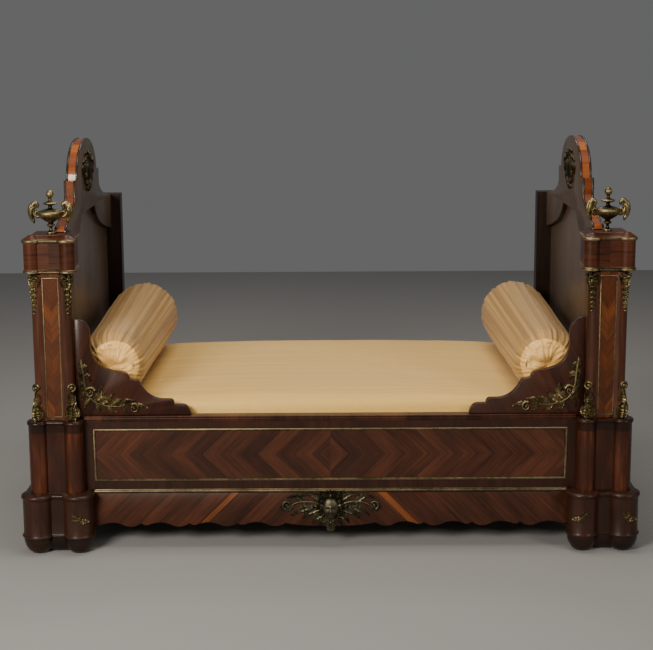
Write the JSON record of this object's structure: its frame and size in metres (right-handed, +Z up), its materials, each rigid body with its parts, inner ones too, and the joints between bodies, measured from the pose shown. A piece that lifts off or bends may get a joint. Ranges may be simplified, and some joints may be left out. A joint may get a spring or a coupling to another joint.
{
  "type": "day bed",
  "caption": "Veneered day bed with equal arched ends, columned front posts with bronze urns, a panelled front rail, mattress and two bolsters.",
  "frame": {"origin": "on the floor, under the middle of the bed's bounding box", "axes": "+X along the bed from head to foot, -Y towards the show side, +Z up"},
  "size_m": [2.1986, 1.3126, 1.433],
  "materials": {
    "kingwood": "french polished veneer",
    "tulipwood": "french polished veneer",
    "dark_board": "dark stained, thin polish",
    "plain_wood": "bare sawn timber",
    "gilt_bronze": "aged mercury gilding",
    "iron": "forged, dull",
    "ticking": "woven linen ticking",
    "silk": "woven silk with satin stripes"
  },
  "bodies": {
    "bedstead": {"head_post_foot": "kingwood", "head_post_plinth": "kingwood", "head_post_pedestal": "kingwood", "head_post_capital": "kingwood", "head_post_cap": "kingwood", "head_base_rail": "kingwood", "head_wing": "kingwood", "head_post_shaft": "tulipwood", "head_crest": "dark_board", "head_panel": "dark_board", "head_rear_post": "dark_board", "head_urn": "gilt_bronze", "head_upper_mount_inner": "gilt_bronze", "head_upper_mount_outer": "gilt_bronze", "head_lower_mount_inner": "gilt_bronze", "head_lower_mount_outer": "gilt_bronze", "head_crest_mount": "gilt_bronze", "head_wing_mount": "gilt_bronze", "head_front_bed_bolt": "iron", "head_rear_bed_bolt": "iron", "foot_post_foot": "kingwood", "foot_post_plinth": "kingwood", "foot_post_pedestal": "kingwood", "foot_post_capital": "kingwood", "foot_post_cap": "kingwood", "foot_base_rail": "kingwood", "foot_wing": "kingwood", "foot_post_shaft": "tulipwood", "foot_crest": "dark_board", "foot_panel": "dark_board", "foot_rear_post": "dark_board", "foot_urn": "gilt_bronze", "foot_upper_mount_inner": "gilt_bronze", "foot_upper_mount_outer": "gilt_bronze", "foot_lower_mount_inner": "gilt_bronze", "foot_lower_mount_outer": "gilt_bronze", "foot_crest_mount": "gilt_bronze", "foot_wing_mount": "gilt_bronze", "foot_front_bed_bolt": "iron", "foot_rear_bed_bolt": "iron", "front_rail": "kingwood", "front_apron": "kingwood", "rail_top_moulding": "kingwood", "rail_base_moulding": "gilt_bronze", "rail_panel_frame": "gilt_bronze", "apron_cartouche": "gilt_bronze", "rear_rail": "dark_board", "front_ledger": "plain_wood", "rear_ledger": "plain_wood", "slat_1": "plain_wood", "slat_2": "plain_wood", "slat_3": "plain_wood", "slat_4": "plain_wood", "slat_5": "plain_wood", "slat_6": "plain_wood", "slat_7": "plain_wood", "spring_base": "ticking"},
    "mattress": {"mattress": "silk"},
    "head_bolster": {"head_bolster": "silk"},
    "foot_bolster": {"foot_bolster": "silk"}
  },
  "joints": [
    {"name": "mattress_lift", "type": "slide", "parent": "bedstead", "child": "mattress", "axis": [0, 0, 1], "range_m": [0, 0.2]},
    {"name": "head_bolster_lift", "type": "slide", "parent": "mattress", "child": "head_bolster", "axis": [0.6, 0, 0.8], "range_m": [0, 0.4]},
    {"name": "foot_bolster_lift", "type": "slide", "parent": "mattress", "child": "foot_bolster", "axis": [-0.6, 0, 0.8], "range_m": [0, 0.4]}
  ]
}
